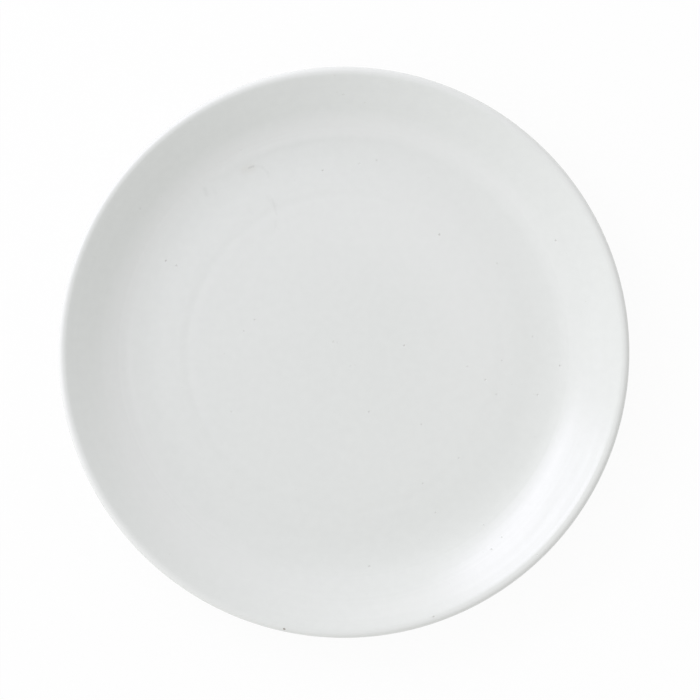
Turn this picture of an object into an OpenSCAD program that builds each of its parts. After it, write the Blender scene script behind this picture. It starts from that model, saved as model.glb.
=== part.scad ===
// Coupe dinner plate in glazed stoneware: a flat floor, a wall that sweeps up with no
// separate rim, a full-round lip, and a low foot ring underneath.
// The origin is the centre of the foot's resting plane, +Z is up, lengths are millimetres.
// Every surface is turned about Z, so the plate is drawn as one half section, with the
// radius along X and the height along Y.

/* [Plate] */
// Outer diameter, over the glazed lip
plate_d = 273; // [240:1:310]
// Thickness of the wall and the lip, over the glaze
wall_t = 5.5; // [4.5:0.1:7]
// Diameter of the flat floor
floor_d = 178; // [140:1:200]

/* [Wall] */
// Slope at the end of the shallow sweep that lifts the edge of the floor, in degrees
sweep_a = 10; // [6:0.5:14]
// Slope at the end of the tighter turn where the wall begins to stand up, in degrees
turn_a = 24; // [20:0.5:27]
// Slope of the straight flare below the lip, in degrees
flare_a = 30; // [28:0.5:36]
// Share of the wall's run that the sweep takes
sweep_share = 0.3; // [0.2:0.01:0.35]
// Share of the wall's run that the turn takes
turn_share = 0.18; // [0.12:0.01:0.25]
// Share of the wall's run that the long ease takes, from the turn to the straight flare
ease_share = 0.24; // [0.15:0.01:0.35]

/* [Foot] */
// Distance from the outer edge of the foot ring to the edge of the floor above it
foot_margin = 8; // [5:0.5:30]
// Width of the foot ring at the table, over the glaze
foot_w = 6; // [5:0.5:12]
// Height of the underside above the table, outside the foot ring
foot_h = 3.4; // [2.6:0.1:5]
// Height of the recessed base above the table, inside the foot ring
base_h = 2.8; // [2.6:0.1:4.5]
// Slope of the foot ring's sides, in degrees
foot_side_a = 75; // [65:1:85]
// Radius worn on the edges of the resting ring
foot_edge_r = 1; // [0.4:0.1:1.3]
// Radius where the foot ring meets the underside, over the glaze
foot_fillet_r = 1.5; // [0.8:0.1:1.8]

/* [Glaze] */
// Thickness of the fired glaze
glaze_t = 0.35; // [0.2:0.05:0.6]
// Height above the table at which the glaze is wiped off the foot ring
glaze_line_h = 1.2; // [1:0.1:1.6]

/* [Hidden] */
$fn = 240;

clay_color = [0.77, 0.70, 0.60];
glaze_color = [0.89, 0.90, 0.89];
base_color = [0.86, 0.87, 0.86];

half_turn = 180;
// Greatest turn between two points of a long arc, and of a small one
wall_step_a = 2;
edge_step_a = 10;

plate_r = plate_d / 2;
floor_r = floor_d / 2;
lip_r = wall_t / 2;
foot_mid_r = floor_r - foot_margin - foot_w / 2;
// Heights of the floor's glazed surface and of the middle of the clay above the recess
floor_z = foot_h + wall_t;
core_z = (base_h + floor_z) / 2;

// Unit vector at angle a, which is down at 0 and outwards at a quarter turn. Where the
// face has slope a, it points from the face into the wall
function toward(a) = [sin(a), -cos(a)];

// The wall runs from the edge of the floor to where the lip's round begins
wall_run = plate_r - lip_r - lip_r * sin(flare_a) - floor_r;

// Radius of the arc that turns the face from slope a to slope b over a share of the run
function wall_arc_r(share, a, b) = share * wall_run / (sin(b) - sin(a));
sweep_r = wall_arc_r(sweep_share, 0, sweep_a);
turn_r = wall_arc_r(turn_share, sweep_a, turn_a);
ease_r = wall_arc_r(ease_share, turn_a, flare_a);

// Centres of the three arcs of the face, each tangent to the one before
sweep_c = [floor_r, floor_z + sweep_r];
turn_c = sweep_c + (sweep_r - turn_r) * toward(sweep_a);
ease_c = turn_c + (turn_r - ease_r) * toward(turn_a);

// The straight flare takes the rest of the run, and the lip's round reaches plate_r
flare_start = ease_c + ease_r * toward(flare_a);
flare_run = floor_r + wall_run - flare_start[0];
lip_c = flare_start + flare_run * [1, tan(flare_a)] + lip_r * toward(flare_a);

// Points of an arc from angle a to angle b, from its first point or the one after it
function arc(centre, r, a, b, step_a, first = 0) =
    let (steps = ceil(abs(b - a) / step_a))
    [for (i = [first : steps]) centre + r * toward(a + (b - a) * i / steps)];

function reversed(points) = [for (i = [len(points) - 1 : -1 : 0]) points[i]];

// The wall's three arcs from the floor outwards, brought in from the face by depth
function wall_arcs(depth) = concat(
    arc(sweep_c, sweep_r + depth, 0, sweep_a, wall_step_a),
    arc(turn_c, turn_r + depth, sweep_a, turn_a, wall_step_a, first = 1),
    arc(ease_c, ease_r + depth, turn_a, flare_a, wall_step_a, first = 1)
);

// One side of the foot ring from its resting edge up to a surface at height root_z, with
// X measured from the middle of the ring and the side brought in by depth
function foot_side(root_z, depth) =
    let (
        side_x = foot_w / 2 - depth / sin(foot_side_a),
        edge_x = side_x - foot_edge_r * tan(foot_side_a / 2),
        fillet_r = foot_fillet_r + depth,
        fillet_z = root_z - fillet_r,
        fillet_x = side_x + (fillet_r + fillet_z * cos(foot_side_a)) / sin(foot_side_a)
    )
    concat(
        arc([edge_x, foot_edge_r], foot_edge_r, 0, foot_side_a, edge_step_a),
        arc([fillet_x, fillet_z], fillet_r, foot_side_a + half_turn, half_turn, edge_step_a)
    );

// Half section of the whole plate with every surface but the resting ring brought in by
// depth: zero gives the glazed outline, and the glaze's thickness the clay inside it
module plate_section(depth) {
    recess_side = foot_side(base_h + depth, depth);
    outer_side = foot_side(foot_h + depth, depth);
    polygon(concat(
        [[0, base_h + depth]],
        [for (p = reversed(recess_side)) [foot_mid_r - p[0], p[1]]],
        [for (p = outer_side) [foot_mid_r + p[0], p[1]]],
        wall_arcs(wall_t - depth),
        arc(lip_c, lip_r - depth, flare_a, flare_a + half_turn, edge_step_a),
        reversed(wall_arcs(depth)),
        [[0, floor_z - depth]]
    ));
}

// Half section of all the glaze, down to the glaze line on the foot ring
module glaze_section() {
    difference() {
        plate_section(0);
        plate_section(glaze_t);
        square([plate_r, glaze_line_h]);
    }
}

// Half section of the space inside the foot ring, up to the middle of the clay
module recess_section() {
    square([foot_mid_r, core_z]);
}

// Fired clay of the floor, wall, lip and foot ring, bare on the ring that it rests on
module stoneware_body() {
    color(clay_color)
        rotate_extrude()
            plate_section(glaze_t);
}

// Matt white glaze over the face, the lip and the underside, down to the foot ring
module glaze_coat() {
    color(glaze_color)
        rotate_extrude()
            difference() {
                glaze_section();
                recess_section();
            }
}

// Separate disc of glaze on the recessed base, inside the foot ring
module base_glaze() {
    color(base_color)
        rotate_extrude()
            intersection() {
                glaze_section();
                recess_section();
            }
}

stoneware_body();
glaze_coat();
base_glaze();
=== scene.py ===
# Dresses the coupe dinner plate: a matt white glaze with the turning rings, pinholes and
# kiln marks of the photographed plate, and a bare clay foot ring underneath.
# Everything is in metres in the plate's own frame: Z is its axis, and it rests on Z = 0.
import math

import bpy
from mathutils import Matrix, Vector


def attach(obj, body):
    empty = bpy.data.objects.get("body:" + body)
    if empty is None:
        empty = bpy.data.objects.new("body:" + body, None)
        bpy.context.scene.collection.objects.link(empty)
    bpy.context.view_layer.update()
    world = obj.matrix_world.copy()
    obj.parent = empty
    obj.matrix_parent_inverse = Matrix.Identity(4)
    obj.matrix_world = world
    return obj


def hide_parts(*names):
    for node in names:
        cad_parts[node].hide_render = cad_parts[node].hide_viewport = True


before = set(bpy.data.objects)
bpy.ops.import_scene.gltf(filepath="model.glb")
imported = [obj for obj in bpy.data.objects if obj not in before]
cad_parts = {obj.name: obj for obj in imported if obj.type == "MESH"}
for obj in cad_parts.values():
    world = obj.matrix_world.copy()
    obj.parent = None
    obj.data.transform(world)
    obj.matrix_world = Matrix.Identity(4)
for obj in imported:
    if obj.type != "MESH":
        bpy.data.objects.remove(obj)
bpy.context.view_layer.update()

mm = 0.001
turn = 2 * math.pi
half_turn = math.pi
quarter_turn = math.pi / 2

# Sizes of the plate, over the glaze
plate_r = 136.5 * mm
wall_t = 5.5 * mm
floor_r = 89 * mm
foot_h = 3.4 * mm
base_h = 2.8 * mm
foot_w = 6 * mm
foot_margin = 8 * mm
foot_edge_r = 1 * mm
foot_fillet_r = 1.5 * mm
foot_side_a = math.radians(75)
glaze_t = 0.35 * mm
glaze_line_h = 1.2 * mm

# Slopes that the face reaches, and the share of the wall's run that each arc takes
sweep_a, turn_a, flare_a = (math.radians(a) for a in (10, 24, 30))
sweep_share, turn_share, ease_share = 0.3, 0.18, 0.24

lip_r = wall_t / 2
floor_z = foot_h + wall_t
foot_mid_r = floor_r - foot_margin - foot_w / 2
# The glaze ends in a small bead as wide as the glaze is thick across the ring's side
bead_r = glaze_t / math.sin(foot_side_a) / 2
bead_steps = 6

# Fineness of the meshes, and how much coarser the hidden side of the glaze is
glaze_sides = 256
clay_sides = 160
wall_step = math.radians(1)
edge_step = math.radians(7.5)
floor_step = 1 * mm
recess_step = 2 * mm
coarse = 4
# Points nearer than this are one
weld = glaze_t / 100

# The shallow groove that the turning tool left all round the floor
groove_r = 76.6 * mm
groove_half = 4 * mm
groove_depth = 0.04 * mm
groove_step = floor_step / 2

# Fainter waves that turning left in the face, each part of a circle: the circle's centre,
# its radius, half the wave's width, its depth, the azimuth where it's deepest, and how far
# it reaches from there. All in millimetres; a depth below nothing is a ridge
turning_waves = (
    (0.9, -0.3, 76.6, 4, 0.075, 172, 240),
    (0, 0, 104.2, 3, -0.1, 105, 80),
    (0, 0, 105, 3, 0.05, 185, 50),
    (-7.7, -0.5, 125.9, 8.9, -0.15, 330, 83),
    (-4.9, -19, 118.6, 4.5, 0.055, 322, 27),
    (-5.5, 23.9, 122.3, 10, 0.141, 346, 150),
    (-23.9, 12.1, 159.6, 7.7, 0.15, 333, 131),
    (-9.2, 1.7, 125.2, 10, -0.15, 327, 82),
    (0, 0, 130.9, 1.6, 0.025, 328, 60),
    (0, 0, 136.5, 3.5, -0.35, 0, 10000),
)
wave_middle_r = 118 * mm

# Rings of painted light and painted shade: paler bands stand in for light on the face, the lip and
# the grooves' lit edges, greyer ones for shade in the turning grooves. Each: radius, half the ring's
# width, share of the paler colour or, below nothing, of the grey one, the azimuth where it's
# strongest, and how far it reaches from there. Radii and widths in millimetres
painted_light_and_shade_rings = (
    (134.9, 2.4, 0.45, 0, 10000),
    (109.5, 9, 0.43, 108, 260),
    (117, 15, 0.24, 228, 110),
    (112, 18, 0.28, 197, 110),
    (103.4, 2.4, 0.09, 187, 70),
    (72.7, 2.4, 0.045, 165, 190),
    (76.7, 2.5, -0.009, 165, 10000),
    (77.3, 3, -0.011, 160, 190),
    (105.2, 2.6, 0.05, 218, 80),
    (102.9, 2.6, -0.028, 92, 95),
    (114.6, 2.6, 0.26, 330, 62),
    (119, 7, 0.26, 312, 62),
    (125.5, 9, 0.3, 294, 85),
    (136.6, 1.6, 0.7, 327, 150),
    (66, 46, 0.38, 35, 190),
)

# Pinholes in the face: where the photograph shows them in pixels, and width in millimetres
pinholes = (
    (165.6, 260.2, 0.67), (439, 234, 0.69), (555.2, 240, 0.66), (559.6, 365, 0.65), (403.9, 345, 0.66),
    (368.8, 565.8, 0.63), (322.2, 170, 0.64), (376.2, 160, 0.61), (433.3, 616.2, 0.67), (536.8, 554.4, 0.49),
    (544.8, 549.4, 0.49), (495.9, 394, 0.61), (485, 379.3, 0.64), (334.3, 75, 0.56), (333, 341, 0.61),
    (337, 342, 0.54), (490.8, 549, 0.59), (466.9, 366, 0.61), (343, 94, 0.61), (176, 264.9, 0.64),
    (458.2, 457.8, 0.56), (532.3, 336, 0.61), (421.1, 424, 0.61), (501.7, 360, 0.59), (537, 394.3, 0.64),
    (482.8, 524.8, 0.56), (139.8, 208.3, 0.59), (368.8, 411.2, 0.63), (501.2, 537, 0.53), (254, 319.2, 0.61),
    (243.3, 330.8, 0.6), (422.2, 483, 0.62), (496.8, 263, 0.56), (240.3, 149.8, 0.47), (358.9, 163, 0.58),
    (350, 365.8, 0.56), (435.2, 512, 0.59), (231, 411.2, 0.56), (252, 166, 0.33), (249, 168, 0.28),
    (283.8, 628.5, 0.78),
)
# The bubbles that leave them: the radius, fineness and unevenness of the first, and for a
# pit its listed width and its centre's height over the face as shares of its bubble
bubble_r = 1 * mm
bubble_fineness = 2
bubble_dent = bubble_r / 12
bubble_seed = 5
pit_mouth = 0.42
pit_lift = 0.7
# The pits' walls take a dark colour, partly the clay showing through and partly painted shade,
# strongest in the wider, deeper pits: the width of the darkest, and how fast narrower ones pale
dark_pit, pit_paling = 0.82, 8
# Edges that turn more than this stay crisp
crisp_a = math.radians(30)

# Marks on the glaze, from one pixel of the photograph to another: width of the core and of
# the faded mark in millimetres, and strength
kiln_marks = (
    (243, 170, 251, 167, 0.2, 2.6, 0.15),
    (247, 168, 249, 168, 1.2, 4.5, 0.13),
)
grey_marks = (
    (248.4, 167.6, 249.9, 166.8, 0.15, 0.75, 2.4),
    (251.4, 166.4, 253, 165.9, 0.15, 0.75, 2.2),
    (254, 165, 262, 167, 0.1, 1.2, 0.5),
    (262, 167, 267, 172, 0.1, 1.2, 0.6),
    (267, 172, 268, 177, 0.1, 1.1, 0.4),
    (268, 197, 274, 205, 0.2, 2.2, 0.6),
    (272, 199, 276, 214, 0.1, 0.9, 0.8),
    (275, 221, 275, 226, 0.1, 1.3, 0.5),
    (204, 188, 206, 194, 0.1, 1.7, 1.0),
    (214, 190, 215, 193, 0.1, 1.4, 0.4),
    (231, 160, 240, 172, 0.3, 2.4, 0.2),
    (248, 210, 251, 213, 0.1, 1.6, 0.3),
    (283.6, 628.6, 284.2, 628.7, 0.1, 0.7, 2),
)

# Colours and finish of the glaze
glaze_cool = (0.8035, 0.826, 0.812, 1)
glaze_warm = (0.8135, 0.834, 0.818, 1)
speck_colour = (0.42, 0.38, 0.32, 1)
stain_colour = (0.36, 0.27, 0.14, 1)
# The grey of the rubbed marks and patches, also the painted shade of the grooves' rings
mark_and_shade_colour = (0.42, 0.43, 0.42, 1)
thin_colour = (0.66, 0.58, 0.47, 1)
# Dark colour of the pits' walls: clay showing through, with painted shade
pit_clay_and_shade_colour = (0.26, 0.22, 0.18, 1)
# The pale colour of the painted light on the face and the lip
painted_light_colour = (0.88, 0.89, 0.885, 1)
cloud_size = 22 * mm
speck_spacing, speck_size, speck_share, speck_depth = 5 * mm, 0.5 * mm, 0.5, 0.22
stain_depth, mark_depth = 0.26, 0.1
thin_h, thin_depth = 0.9 * mm, 0.45
patch_size, patch_depth = 4 * mm, 0.1
grain_size, grain_depth = 1.6 * mm, 0.006 * mm
ring_spacing, ring_wander, ring_depth = 2.4 * mm, 1.5 * mm, 0.05 * mm
floor_rings = 0.3
# Heights over the floor between which the rings grow to their full depth on the wall
rings_from_h, rings_to_h = 0.9 * mm, 2.7 * mm
drift_size = 120 * mm
cloud_detail, ring_detail = 3.0, 1.0
glaze_rough_low, glaze_rough_high = 0.21, 0.27

# Colours and finish of the bare clay
clay_dark = (0.56, 0.47, 0.36, 1)
clay_light = (0.67, 0.58, 0.47, 1)
grog_colour = (0.16, 0.11, 0.08, 1)
sand_colour = (0.80, 0.74, 0.65, 1)
worn_colour = (0.50, 0.45, 0.39, 1)
clay_cloud = 5 * mm
# What is added to a fleck's chance of being large, and the share of it that is full
fleck_least, fleck_core = 0.3, 0.6
grog_spacing, grog_size, grog_share, grog_depth = 2.2 * mm, 0.6 * mm, 0.4, 0.7
sand_spacing, sand_size = 1.3 * mm, 0.45 * mm
worn_h, worn_depth = 0.35 * mm, 0.35
clay_rough, worn_rough = 0.88, 0.7
clay_grain, clay_grain_depth = 0.5 * mm, 0.05 * mm
clay_ring_spacing, clay_ring_depth = 0.9 * mm, 0.06 * mm

# Paper that the plate rests on, and how much of its white is its own
paper_colour = (0.96, 0.96, 0.96, 1)
paper_rough = 0.9
paper_grain, paper_depth = 0.8 * mm, 0.02 * mm
paper_white = 0.93
floor_span = 6

# The photograph: its size, and the middle and the radius of the plate in it
frame_px = 700
px_middle = 0.5
photo_centre_px = (343.8, 352.3)
photo_radius_px = 285.6
lens = 135
sensor = 36

# The softbox as the plate sees it, and the light all round
key_azimuth, key_elevation, key_wide, key_high = (math.radians(a) for a in (140, 40, 35, 12))
key_power = 3.08
lamp_distance = 1.2
lamp_colour = (0.865, 0.82, 1.0)
room_level = 0.456
room_glow = (
    (math.radians(180), 0.87),
    (math.radians(90), 0.56),
    (math.radians(270), 0.24),
)
room_colour = (1, 0.998, 0.98, 1)


def toward(a):
    """Unit vector in the half section at angle a: down at 0, outwards at a quarter turn."""
    return Vector((math.sin(a), -math.cos(a)))


# The half section is drawn as stretches, each a straight run or an arc

def straight(start, end, step=1.0):
    """A straight stretch in pieces of about one step."""
    steps = max(1, round((end - start).length / step))
    return {"start": start, "end": end, "steps": steps}


def bend(centre, radius, a, b, step):
    """An arc about centre, from angle a to angle b."""
    return {
        "start": centre + radius * toward(a),
        "end": centre + radius * toward(b),
        "centre": centre,
        "angle": b - a,
        "steps": max(1, math.ceil(abs(b - a) / step)),
    }


def backwards(stretches):
    """The same stretches drawn from their far end."""
    turned = []
    for s in reversed(stretches):
        turned.append({**s, "start": s["end"], "end": s["start"], "angle": -s.get("angle", 0)})
    return turned


def mirrored(stretches):
    """The same stretches on the inner side of the foot ring's middle."""
    flip = lambda p: Vector((2 * foot_mid_r - p.x, p.y))
    turned = []
    for s in stretches:
        t = {**s, "start": flip(s["start"]), "end": flip(s["end"]), "angle": -s.get("angle", 0)}
        if "centre" in s:
            t["centre"] = flip(s["centre"])
        turned.append(t)
    return turned


wall_run = plate_r - lip_r - lip_r * math.sin(flare_a) - floor_r


def wall_arc_r(share, a, b):
    """Radius of the arc that turns the face from slope a to slope b over a share of the run."""
    return share * wall_run / (math.sin(b) - math.sin(a))


sweep_r = wall_arc_r(sweep_share, 0, sweep_a)
turn_r = wall_arc_r(turn_share, sweep_a, turn_a)
ease_r = wall_arc_r(ease_share, turn_a, flare_a)
sweep_c = Vector((floor_r, floor_z + sweep_r))
turn_c = sweep_c + (sweep_r - turn_r) * toward(sweep_a)
ease_c = turn_c + (turn_r - ease_r) * toward(turn_a)
flare_start = ease_c + ease_r * toward(flare_a)
flare_run = floor_r + wall_run - flare_start.x
flare_end = flare_start + flare_run * Vector((1, math.tan(flare_a)))
lip_c = flare_end + lip_r * toward(flare_a)

# Metres of the plate to a pixel of the photograph at the height of the lip's middle
px = plate_r / photo_radius_px
camera_place = Vector((
    (frame_px / 2 - photo_centre_px[0]) * px,
    (photo_centre_px[1] - frame_px / 2) * px,
    lip_c.y + frame_px * px * lens / sensor,
))


def wall(depth, fineness=1):
    """The wall from the edge of the floor to the lip, at a depth below the face."""
    inset = depth * toward(flare_a)
    step = wall_step * fineness
    return [
        bend(sweep_c, sweep_r + depth, 0, sweep_a, step),
        bend(turn_c, turn_r + depth, sweep_a, turn_a, step),
        bend(ease_c, ease_r + depth, turn_a, flare_a, step),
        straight(flare_start + inset, flare_end + inset, floor_step * fineness),
    ]


def groove():
    """The groove across the floor's glaze: over one shoulder, along the bottom and out."""
    slope = groove_depth / groove_half * 2
    radius = groove_half / 2 / math.sin(slope)
    bottom = floor_z - 2 * radius * (1 - math.cos(slope))
    step = groove_step / radius
    near, far = (Vector((groove_r + side * groove_half, floor_z - radius)) for side in (-1, 1))
    middle = Vector((groove_r, bottom + radius))
    return [
        bend(near, radius, half_turn, half_turn - slope, step),
        bend(middle, radius, -slope, slope, step),
        bend(far, radius, half_turn + slope, half_turn, step),
    ]


def face(depth, fineness=1):
    """The eating face from the axis to the lip, at a depth below the glaze."""
    start = Vector((0, floor_z - depth))
    edge = Vector((floor_r, floor_z - depth))
    if depth > 0:
        return [straight(start, edge, floor_step * fineness), *wall(depth, fineness)]
    cut = groove()
    return [
        straight(start, cut[0]["start"], floor_step), *cut,
        straight(cut[-1]["end"], edge, floor_step), *wall(depth),
    ]


def lip(depth, fineness=1):
    """The full-round lip, from the face over to the back."""
    turned = flare_a + half_turn
    return [bend(lip_c, lip_r - depth, turned, flare_a, edge_step * fineness)]


def foot_side(root_z, depth, fineness, to_table):
    """The foot ring's outer side, from the surface above it to the glaze's edge, or on over
    the worn edge to the table."""
    step = edge_step * fineness
    side_x = foot_mid_r + foot_w / 2 - depth / math.sin(foot_side_a)
    fillet_r = foot_fillet_r + depth
    fillet_z = root_z - fillet_r
    fillet_x = side_x + (fillet_r + fillet_z * math.cos(foot_side_a)) / math.sin(foot_side_a)
    fillet = bend(Vector((fillet_x, fillet_z)), fillet_r, half_turn, foot_side_a + half_turn, step)
    if to_table:
        edge_c = Vector((side_x - foot_edge_r * math.tan(foot_side_a / 2), foot_edge_r))
        edge = bend(edge_c, foot_edge_r, foot_side_a, 0, step)
        return [fillet, straight(fillet["end"], edge["start"]), edge]
    line_z = glaze_line_h + bead_r
    line = Vector((side_x + line_z / math.tan(foot_side_a), line_z))
    return [fillet, straight(fillet["end"], line)]


def back(depth, fineness=1, to_table=False):
    """The underside from the lip in to the foot ring, and down the ring's outer side."""
    side = foot_side(foot_h + depth, depth, fineness, to_table)
    edge = Vector((floor_r, foot_h + depth))
    under = straight(edge, side[0]["start"], floor_step * fineness)
    return [*backwards(wall(wall_t - depth, fineness)), under, *side]


def recess(depth, fineness=1, to_table=False):
    """The recessed base from the axis out to the foot ring, and down the ring's inner side."""
    side = mirrored(foot_side(base_h + depth, depth, fineness, to_table))
    start = Vector((0, base_h + depth))
    return [straight(start, side[0]["start"], recess_step * fineness), *side]


def glaze_bead(end, inwards):
    """The rounded edge where the glaze stops on the foot ring."""
    centre = end + Vector((inwards * bead_r, 0))
    outer = -inwards * quarter_turn
    return bend(centre, bead_r, outer, -outer, half_turn / bead_steps)


def joined(stretches):
    """Fills the gaps between stretches with straight ones."""
    whole = [stretches[0]]
    for s in stretches[1:]:
        if (s["start"] - whole[-1]["end"]).length > weld:
            whole.append(straight(whole[-1]["end"], s["start"]))
        whole.append(s)
    return whole


def draw(name, stretches):
    """Draws a half section from one vertex, by extruding it along the straight stretches
    and spinning it round the arcs."""
    bpy.ops.object.select_all(action="DESELECT")
    bpy.ops.mesh.primitive_plane_add(size=wall_t)
    piece = bpy.context.object
    piece.name = piece.data.name = name
    bpy.ops.object.mode_set(mode="EDIT")
    bpy.ops.mesh.select_all(action="SELECT")
    bpy.ops.mesh.merge(type="CENTER")
    start = stretches[0]["start"]
    bpy.ops.transform.translate(value=(start.x, 0, start.y))
    for s in joined(stretches):
        if "centre" in s:
            bpy.ops.mesh.spin(
                steps=s["steps"], angle=s["angle"], use_auto_merge=False,
                center=(s["centre"].x, 0, s["centre"].y), axis=(0, 1, 0),
            )
        else:
            step = (s["end"] - s["start"]) / s["steps"]
            for _ in range(s["steps"]):
                bpy.ops.mesh.extrude_region_move(
                    TRANSFORM_OT_translate={"value": (step.x, 0, step.y)}
                )
    return piece


def revolve(piece, sides):
    """Spins the drawn half section round the plate's axis and closes the mesh."""
    bpy.ops.mesh.select_all(action="SELECT")
    bpy.ops.mesh.spin(steps=sides, angle=turn, use_auto_merge=True, center=(0, 0, 0), axis=(0, 0, 1))
    bpy.ops.mesh.select_all(action="SELECT")
    bpy.ops.mesh.remove_doubles(threshold=weld)
    bpy.ops.mesh.normals_make_consistent(inside=False)
    bpy.ops.object.mode_set(mode="OBJECT")


def make_clay():
    """The fired clay, bare where the foot ring meets the table."""
    outline = [
        *face(glaze_t), *lip(glaze_t), *back(glaze_t, to_table=True),
        *backwards(recess(glaze_t, to_table=True)),
    ]
    piece = draw("fired_clay", outline)
    revolve(piece, clay_sides)
    return piece


def make_glaze():
    """The glaze over the face, the lip and the underside, a closed shell on the clay."""
    outer = [*face(0), *lip(0), *back(0)]
    inner = [*face(glaze_t, coarse), *lip(glaze_t, coarse), *back(glaze_t, coarse)]
    piece = draw("white_glaze", [*outer, glaze_bead(outer[-1]["end"], -1), *backwards(inner)])
    revolve(piece, glaze_sides)
    return piece


def make_recess_glaze():
    """The disc of glaze on the recessed base, inside the foot ring."""
    outer = recess(0)
    inner = recess(glaze_t, coarse)
    piece = draw("recess_glaze", [*outer, glaze_bead(outer[-1]["end"], 1), *backwards(inner)])
    revolve(piece, clay_sides)
    return piece


def under_pixel(piece, x_px, y_px):
    """Where the camera's line through a pixel of the photograph meets a piece, and the way
    that the piece faces there."""
    across = (x_px + px_middle) / frame_px - 0.5
    up = 0.5 - (y_px + px_middle) / frame_px
    sight = Vector((across * sensor, up * sensor, -lens))
    _, spot, out, _ = piece.ray_cast(camera_place, sight.normalized())
    return spot, out


def select_only(pieces):
    """Selects these pieces and nothing else, and makes the first one active."""
    bpy.ops.object.select_all(action="DESELECT")
    for piece in pieces:
        piece.select_set(True)
    bpy.context.view_layer.objects.active = pieces[0]


def make_bubble():
    """One slightly dented bubble, with a mark on its faces for how dark a pit's walls are painted, as clay
    showing through and as painted shade.
    """
    bpy.ops.object.select_all(action="DESELECT")
    bpy.ops.mesh.primitive_ico_sphere_add(subdivisions=bubble_fineness, radius=bubble_r)
    bubble = bpy.context.object
    bpy.ops.object.mode_set(mode="EDIT")
    bpy.ops.mesh.select_all(action="SELECT")
    bpy.ops.transform.vertex_random(offset=bubble_dent, seed=bubble_seed)
    bpy.ops.object.mode_set(mode="OBJECT")
    bubble.data.attributes.new("pit_clay_and_shade", "FLOAT", "FACE")
    return bubble


def place_bubble(bubble, spot, out, width):
    """Copies the bubble to a spot on the glaze, at the size that leaves a pit of this width."""
    size = width * mm / (2 * bubble_r * pit_mouth)
    select_only([bubble])
    bpy.ops.object.duplicate()
    bpy.ops.transform.resize(value=(size, size, size))
    bpy.ops.transform.translate(value=spot + out * bubble_r * size * pit_lift)
    copy = bpy.context.selected_objects[0]
    walls = copy.data.attributes["pit_clay_and_shade"].data
    walls.foreach_set("value", [min(1, (width / dark_pit) ** pit_paling)] * len(walls))
    return copy


def cut_pinholes(piece):
    """Cuts the burst bubbles of the photograph into the glaze as small round pits, whose
    walls keep the bubbles' mark for the material."""
    piece.data.attributes.new("pit_clay_and_shade", "FLOAT", "FACE")
    bubble = make_bubble()
    copies = []
    for x_px, y_px, width in pinholes:
        spot, out = under_pixel(piece, x_px, y_px)
        copies.append(place_bubble(bubble, spot, out, width))
    select_only(copies)
    bpy.ops.object.join()
    cutter = bpy.context.object
    select_only([piece])
    cut = piece.modifiers.new("pinholes", "BOOLEAN")
    cut.operation = "DIFFERENCE"
    cut.solver = "EXACT"
    cut.object = cutter
    bpy.ops.object.modifier_apply(modifier=cut.name)
    select_only([bubble, cutter])
    bpy.ops.object.delete()


def soften(piece):
    """Smooth shading that keeps the crisp rims of pits and glaze edges."""
    select_only([piece])
    bpy.ops.object.shade_smooth_by_angle(angle=crisp_a)


# Nodes

def put(tree, kind, sockets=None, **settings):
    """Adds a shader node with its settings, and links or sets its sockets."""
    made = tree.nodes.new("ShaderNode" + kind)
    for name, value in settings.items():
        setattr(made, name, value)
    for name, value in (sockets or {}).items():
        if isinstance(value, bpy.types.NodeSocket):
            tree.links.new(value, made.inputs[name])
        else:
            made.inputs[name].default_value = value
    return made


def maths(tree, operation, a, b=0.0, **settings):
    """A sum of two values, or of one."""
    return put(tree, "Math", {0: a, 1: b}, operation=operation, **settings).outputs[0]


def vector_maths(tree, operation, a, b=(0, 0, 0)):
    """The outputs of a sum of two vectors."""
    return put(tree, "VectorMath", {0: a, 1: b}, operation=operation).outputs


def mix_colour(tree, share, a, b):
    """A mix of two colours, with this share of the second."""
    return put(tree, "Mix", {0: share, 6: a, 7: b}, data_type="RGBA").outputs[2]


def tint(tree, colour, mask, depth, shade):
    """Lays a shade over a colour, as deep as the mask and its depth make it."""
    return mix_colour(tree, maths(tree, "MULTIPLY", mask, depth), colour, shade)


def fade(tree, value, full, none):
    """One at the first value and nothing at the second, with a smooth fade between."""
    sockets = {"Value": value, "From Min": full, "From Max": none, "To Min": 1.0, "To Max": 0.0}
    return put(tree, "MapRange", sockets, interpolation_type="SMOOTHSTEP").outputs[0]


def new_effect(name, inputs, output):
    """A node group with named sockets: the group, its inputs, its outputs, and the place on
    the piece."""
    group = bpy.data.node_groups.new(name, "ShaderNodeTree")
    for label, kind in inputs.items():
        group.interface.new_socket(label, in_out="INPUT", socket_type=kind)
    group.interface.new_socket(output, in_out="OUTPUT", socket_type="NodeSocketFloat")
    ends = group.nodes.new("NodeGroupInput").outputs, group.nodes.new("NodeGroupOutput").inputs
    place = put(group, "TexCoord").outputs["Object"]
    return group, *ends, place


def mottle_effect():
    """Soft cloudy variation, with patches about one spacing across."""
    tree, given, result, place = new_effect("mottle", {"Spacing": "NodeSocketFloat"}, "Value")
    scale = maths(tree, "DIVIDE", 1.0, given["Spacing"])
    noise = put(tree, "TexNoise", {"Vector": place, "Scale": scale, "Detail": cloud_detail})
    tree.links.new(noise.outputs["Fac"], result["Value"])
    return tree


def turning_effect():
    """Uneven rings about the plate's axis, as the wheel and the turning tool leave them."""
    inputs = {"Spacing": "NodeSocketFloat", "Wander": "NodeSocketFloat"}
    tree, given, result, place = new_effect("turning_rings", inputs, "Height")
    flat = vector_maths(tree, "MULTIPLY", place, (1, 1, 0))["Vector"]
    radius = vector_maths(tree, "LENGTH", flat)["Value"]
    drift = put(tree, "TexNoise", {"Vector": place, "Scale": 1 / drift_size, "Detail": ring_detail})
    centred = maths(tree, "SUBTRACT", drift.outputs["Fac"], 0.5)
    moved = maths(tree, "ADD", radius, maths(tree, "MULTIPLY", centred, given["Wander"]))
    count = maths(tree, "DIVIDE", moved, given["Spacing"])
    sockets = {"W": count, "Scale": 1.0, "Detail": ring_detail}
    rings = put(tree, "TexNoise", sockets, noise_dimensions="1D")
    tree.links.new(rings.outputs["Fac"], result["Height"])
    return tree


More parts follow.
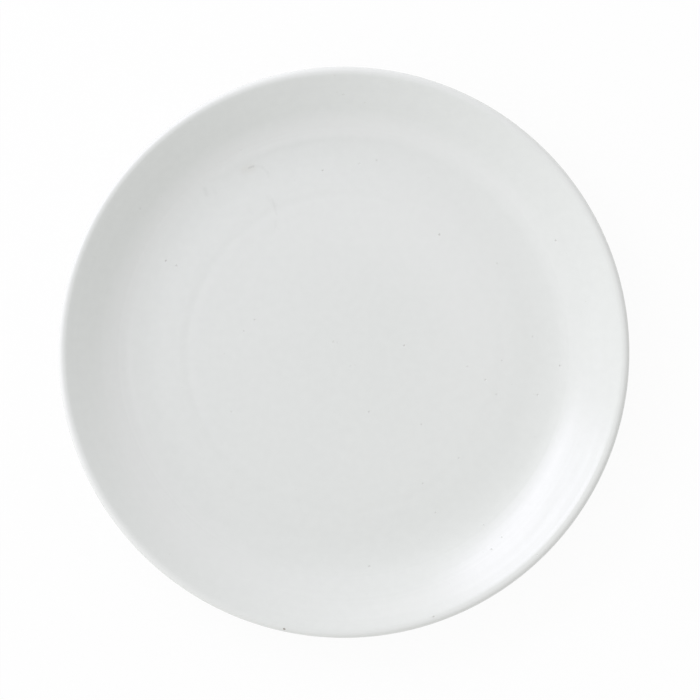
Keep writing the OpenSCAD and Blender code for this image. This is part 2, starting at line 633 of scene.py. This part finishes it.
def fleck_effect():
    """Scattered round flecks of uneven size."""
    inputs = {"Spacing": "NodeSocketFloat", "Size": "NodeSocketFloat", "Share": "NodeSocketFloat"}
    tree, given, result, place = new_effect("flecks", inputs, "Mask")
    scale = maths(tree, "DIVIDE", 1.0, given["Spacing"])
    cells = put(tree, "TexVoronoi", {"Vector": place, "Scale": scale})
    chance = put(tree, "SeparateColor", {"Color": cells.outputs["Color"]}).outputs
    from_centre = maths(tree, "MULTIPLY", cells.outputs["Distance"], given["Spacing"])
    size = maths(tree, "MULTIPLY", given["Size"], maths(tree, "ADD", chance["Green"], fleck_least))
    half = maths(tree, "MULTIPLY", size, 0.5)
    spot = fade(tree, from_centre, maths(tree, "MULTIPLY", half, fleck_core), half)
    chosen = maths(tree, "LESS_THAN", chance["Red"], given["Share"])
    tree.links.new(maths(tree, "MULTIPLY", spot, chosen), result["Mask"])
    return tree


def smudge_effect():
    """A soft mark along a short line, full within its core and gone at its reach."""
    inputs = {
        "Start": "NodeSocketVector", "End": "NodeSocketVector",
        "Core": "NodeSocketFloat", "Reach": "NodeSocketFloat",
    }
    tree, given, result, place = new_effect("smudge", inputs, "Mask")
    along = vector_maths(tree, "SUBTRACT", given["End"], given["Start"])["Vector"]
    offset = vector_maths(tree, "SUBTRACT", place, given["Start"])["Vector"]
    reached = vector_maths(tree, "DOT_PRODUCT", offset, along)["Value"]
    whole = vector_maths(tree, "DOT_PRODUCT", along, along)["Value"]
    part = maths(tree, "DIVIDE", reached, whole, use_clamp=True)
    nearest = put(tree, "VectorMath", {0: along, "Scale": part}, operation="SCALE").outputs["Vector"]
    distance = vector_maths(tree, "DISTANCE", offset, nearest)["Value"]
    tree.links.new(fade(tree, distance, given["Core"], given["Reach"]), result["Mask"])
    return tree


def round_plate(azimuth):
    """The place on the wall at an azimuth in degrees, as a wave's strongest point."""
    a = math.radians(azimuth)
    return wave_middle_r * math.cos(a), wave_middle_r * math.sin(a), 0


def wave_effect():
    """A shallow wave along a circle, full at its deepest point and gone at its reach."""
    inputs = {
        "Centre": "NodeSocketVector", "Radius": "NodeSocketFloat", "Half Width": "NodeSocketFloat",
        "Middle": "NodeSocketVector", "Reach": "NodeSocketFloat",
    }
    tree, given, result, place = new_effect("turning_wave", inputs, "Share")
    flat = vector_maths(tree, "MULTIPLY", place, (1, 1, 0))["Vector"]
    radius = vector_maths(tree, "DISTANCE", flat, given["Centre"])["Value"]
    beside = maths(tree, "ABSOLUTE", maths(tree, "SUBTRACT", radius, given["Radius"]))
    along = vector_maths(tree, "DISTANCE", flat, given["Middle"])["Value"]
    across = fade(tree, beside, 0.0, given["Half Width"])
    lengthways = fade(tree, along, 0.0, given["Reach"])
    tree.links.new(maths(tree, "MULTIPLY", across, lengthways), result["Share"])
    return tree


def effect(tree, group, **sockets):
    """Places an effect in a material with its own values, and gives what it puts out."""
    made = tree.nodes.new("ShaderNodeGroup")
    made.node_tree = group
    for name, value in sockets.items():
        made.inputs[name.replace("_", " ")].default_value = value
    return made.outputs[0]


def new_material(name):
    """A material, its nodes and its shader."""
    material = bpy.data.materials.new(name)
    material.use_nodes = True
    tree = material.node_tree
    return material, tree, tree.nodes["Principled BSDF"]


def add_bump(tree, shader, height):
    """Gives a surface the relief of a height in metres."""
    bump = put(tree, "Bump", {"Height": height, "Distance": 1.0})
    tree.links.new(bump.outputs["Normal"], shader.inputs["Normal"])


def lay_marks(tree, glaze, colour):
    """Lays the kiln's stains and then the grey rubs over the glaze's colour."""
    stains = [(mark, stain_colour, stain_depth) for mark in kiln_marks]
    greys = [(mark, mark_and_shade_colour, mark_depth) for mark in grey_marks]
    for mark, shade, depth in stains + greys:
        x_px, y_px, to_x_px, to_y_px, core, reach, strength = mark
        start, _ = under_pixel(glaze, x_px, y_px)
        end, _ = under_pixel(glaze, to_x_px, to_y_px)
        mask = effect(tree, smudge, Start=start, End=end, Core=core * mm, Reach=reach * mm)
        colour = tint(tree, colour, mask, depth * strength, shade)
    return colour


def lay_painted_light_and_shade(tree, colour):
    """Lays the rings of painted light and painted shade over the glaze's colour."""
    for radius, half_width, share, azimuth, reach in painted_light_and_shade_rings:
        ring = effect(
            tree, wave, Radius=radius * mm, Half_Width=half_width * mm,
            Middle=round_plate(azimuth), Reach=reach * mm,
        )
        # The paler colour is painted light, the grey one painted shade
        shade = painted_light_colour if share > 0 else mark_and_shade_colour
        colour = tint(tree, colour, ring, abs(share), shade)
    return colour


def face_height(tree, up, grain):
    """The relief of the turned face: its rings, fainter on the floor, its grain and waves."""
    rings = effect(tree, turning, Spacing=ring_spacing, Wander=ring_wander)
    on_floor = fade(tree, up, floor_z + rings_from_h, floor_z + rings_to_h)
    ring_share = maths(tree, "SUBTRACT", 1.0, maths(tree, "MULTIPLY", on_floor, 1 - floor_rings))
    ring_height = maths(tree, "MULTIPLY", maths(tree, "MULTIPLY", rings, ring_share), ring_depth)
    height = maths(tree, "ADD", ring_height, maths(tree, "MULTIPLY", grain, grain_depth))
    for x, y, radius, half_width, depth, azimuth, reach in turning_waves:
        share = effect(
            tree, wave, Centre=(x * mm, y * mm, 0), Radius=radius * mm, Half_Width=half_width * mm,
            Middle=round_plate(azimuth), Reach=reach * mm,
        )
        height = maths(tree, "SUBTRACT", height, maths(tree, "MULTIPLY", share, depth * mm))
    return height


def glaze_material(glaze):
    """Matt white glaze with a little clay showing through where it thins."""
    material, tree, shader = new_material("matt_white_glaze")
    place = put(tree, "TexCoord").outputs["Object"]
    up = put(tree, "SeparateXYZ", {0: place}).outputs["Z"]
    clouds = effect(tree, mottle, Spacing=cloud_size)
    colour = mix_colour(tree, clouds, glaze_cool, glaze_warm)
    specks = effect(tree, flecks, Spacing=speck_spacing, Size=speck_size, Share=speck_share)
    colour = tint(tree, colour, specks, speck_depth, speck_colour)
    colour = lay_marks(tree, glaze, colour)
    patches = effect(tree, mottle, Spacing=patch_size)
    colour = tint(tree, colour, patches, patch_depth, mark_and_shade_colour)
    # Paler rings of painted light and greyer rings of painted shade
    colour = lay_painted_light_and_shade(tree, colour)
    thin = fade(tree, up, glaze_line_h, glaze_line_h + thin_h)
    colour = tint(tree, colour, thin, thin_depth, thin_colour)
    # The pits' walls: clay showing through, with painted shade
    pit_clay_and_shade = put(tree, "Attribute", attribute_name="pit_clay_and_shade").outputs["Fac"]
    colour = mix_colour(tree, pit_clay_and_shade, colour, pit_clay_and_shade_colour)
    tree.links.new(colour, shader.inputs["Base Color"])
    grain = effect(tree, mottle, Spacing=grain_size)
    sheen = {"Value": grain, "To Min": glaze_rough_low, "To Max": glaze_rough_high}
    tree.links.new(put(tree, "MapRange", sheen).outputs[0], shader.inputs["Roughness"])
    add_bump(tree, shader, face_height(tree, up, grain))
    return material


def clay_material():
    """Bare fired clay with grog, wiped clean of glaze and rubbed where the plate rests."""
    material, tree, shader = new_material("bare_stoneware")
    place = put(tree, "TexCoord").outputs["Object"]
    up = put(tree, "SeparateXYZ", {0: place}).outputs["Z"]
    clouds = effect(tree, mottle, Spacing=clay_cloud)
    colour = mix_colour(tree, clouds, clay_dark, clay_light)
    grog = effect(tree, flecks, Spacing=grog_spacing, Size=grog_size, Share=grog_share)
    colour = tint(tree, colour, grog, grog_depth, grog_colour)
    sand = effect(tree, flecks, Spacing=sand_spacing, Size=sand_size, Share=grog_share)
    colour = tint(tree, colour, sand, grog_depth, sand_colour)
    worn = fade(tree, up, 0.0, worn_h)
    colour = tint(tree, colour, worn, worn_depth, worn_colour)
    tree.links.new(colour, shader.inputs["Base Color"])
    rub = {"Value": worn, "To Min": clay_rough, "To Max": worn_rough}
    tree.links.new(put(tree, "MapRange", rub).outputs[0], shader.inputs["Roughness"])
    grain = effect(tree, mottle, Spacing=clay_grain)
    rings = effect(tree, turning, Spacing=clay_ring_spacing, Wander=ring_wander)
    ring_height = maths(tree, "MULTIPLY", rings, clay_ring_depth)
    grain_height = maths(tree, "MULTIPLY", grain, clay_grain_depth)
    height = maths(tree, "ADD", ring_height, grain_height)
    add_bump(tree, shader, height)
    return material


def background_ray(tree):
    """One where the camera looks, or looks by way of gloss or glass."""
    ray = put(tree, "LightPath").outputs
    seen = maths(tree, "MAXIMUM", ray["Is Camera Ray"], ray["Is Glossy Ray"])
    return maths(tree, "MAXIMUM", seen, ray["Is Transmission Ray"])


def paper_material():
    """Pale paper that shows white and keeps a faint shadow."""
    material, tree, shader = new_material("pale_paper")
    shader.inputs["Base Color"].default_value = paper_colour
    shader.inputs["Roughness"].default_value = paper_rough
    texture = effect(tree, mottle, Spacing=paper_grain)
    add_bump(tree, shader, maths(tree, "MULTIPLY", texture, paper_depth))
    white = put(tree, "Emission", {"Strength": 1.0})
    share = maths(tree, "MULTIPLY", background_ray(tree), paper_white)
    shown = put(tree, "MixShader", {0: share, 1: shader.outputs[0], 2: white.outputs[0]})
    tree.links.new(shown.outputs[0], tree.nodes["Material Output"].inputs["Surface"])
    return material


def make_floor():
    """The sheet of paper under the plate."""
    bpy.ops.object.select_all(action="DESELECT")
    bpy.ops.mesh.primitive_plane_add(size=floor_span)
    floor = bpy.context.object
    floor.name = "pale_floor"
    floor.data.materials.append(paper_material())


def make_camera():
    """Straight above the plate, framed as the photograph is."""
    bpy.ops.object.camera_add(location=camera_place, rotation=(0, 0, 0))
    camera = bpy.context.object
    camera.data.lens = lens
    camera.data.sensor_width = sensor
    bpy.context.scene.camera = camera


def make_softbox(name, azimuth, elevation, wide, high, power):
    """A flat lamp that faces the plate and spans wide and high as seen from it."""
    place = lamp_distance * Vector((
        math.cos(elevation) * math.cos(azimuth),
        math.cos(elevation) * math.sin(azimuth),
        math.sin(elevation),
    ))
    bpy.ops.object.light_add(type="AREA", location=place)
    lamp = bpy.context.object
    lamp.name = name
    lamp.data.shape = "RECTANGLE"
    lamp.data.size = 2 * lamp_distance * math.tan(wide / 2)
    lamp.data.size_y = 2 * lamp_distance * math.tan(high / 2)
    lamp.data.energy = power
    lamp.data.color = lamp_colour
    lamp.rotation_euler = (-place).to_track_quat("-Z", "Y").to_euler()


def make_surroundings():
    """Even light all round that grows towards the softbox, and white behind the plate."""
    world = bpy.data.worlds.new("studio")
    bpy.context.scene.world = world
    world.use_nodes = True
    tree = world.node_tree
    way = put(tree, "TexCoord").outputs["Generated"]
    level = room_level
    for azimuth, strength in room_glow:
        side = (math.cos(azimuth), math.sin(azimuth), 0)
        facing = vector_maths(tree, "DOT_PRODUCT", way, side)["Value"]
        glow = maths(tree, "MULTIPLY", maths(tree, "MAXIMUM", facing, 0.0), strength)
        level = maths(tree, "ADD", glow, level)
    around = put(tree, "Background", {"Color": room_colour, "Strength": level})
    behind = put(tree, "Background", {"Color": (1, 1, 1, 1), "Strength": 1.0})
    sockets = {0: background_ray(tree), 1: around.outputs[0], 2: behind.outputs[0]}
    shown = put(tree, "MixShader", sockets)
    tree.links.new(shown.outputs[0], tree.nodes["World Output"].inputs["Surface"])


mottle, turning, wave = mottle_effect(), turning_effect(), wave_effect()
flecks, smudge = fleck_effect(), smudge_effect()

clay = make_clay()
glaze = make_glaze()
recess_coat = make_recess_glaze()
cut_pinholes(glaze)

white_glaze = glaze_material(glaze)
bare_clay = clay_material()
dressed = (
    (clay, bare_clay, "stoneware_body", "bare_stoneware"),
    (glaze, white_glaze, "glaze_coat", "matt_white_glaze"),
    (recess_coat, white_glaze, "base_glaze", "matt_white_glaze"),
)
for piece, material, node, finish in dressed:
    soften(piece)
    piece.data.materials.clear()
    piece.data.materials.append(material)
    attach(piece, "root")
    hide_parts(node)

make_camera()
make_softbox("softbox", key_azimuth, key_elevation, key_wide, key_high, key_power)
make_surroundings()
make_floor()
bpy.context.scene.view_settings.view_transform = "Standard"
